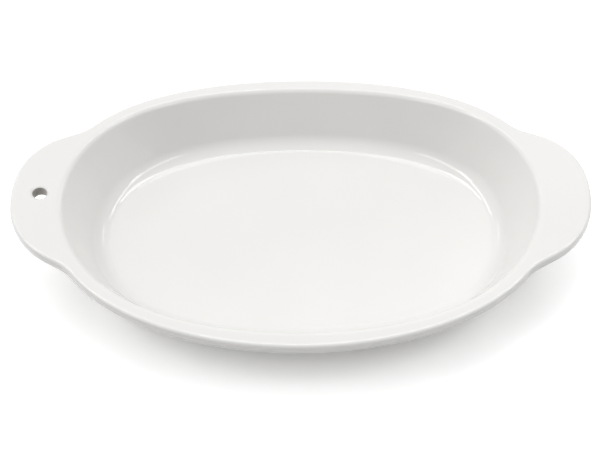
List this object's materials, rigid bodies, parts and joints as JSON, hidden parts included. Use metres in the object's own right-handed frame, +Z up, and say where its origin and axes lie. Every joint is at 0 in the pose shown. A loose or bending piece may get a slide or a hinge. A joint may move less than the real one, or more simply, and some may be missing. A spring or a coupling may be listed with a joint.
{
  "type": "oval baking dish",
  "caption": "Shallow oval baking dish of white glazed ceramic with a flat lip that widens into two flat ears, one with a hanging hole.",
  "frame": {"origin": "on the supporting surface, under the middle of the dish", "axes": "+X along the length towards the ear without the hole, +Y across the dish, +Z up"},
  "size_m": [0.34, 0.2062, 0.0484],
  "materials": {
    "glaze": "smooth glossy white glaze"
  },
  "bodies": {
    "root": {"baking_dish": "glaze"}
  },
  "joints": []
}
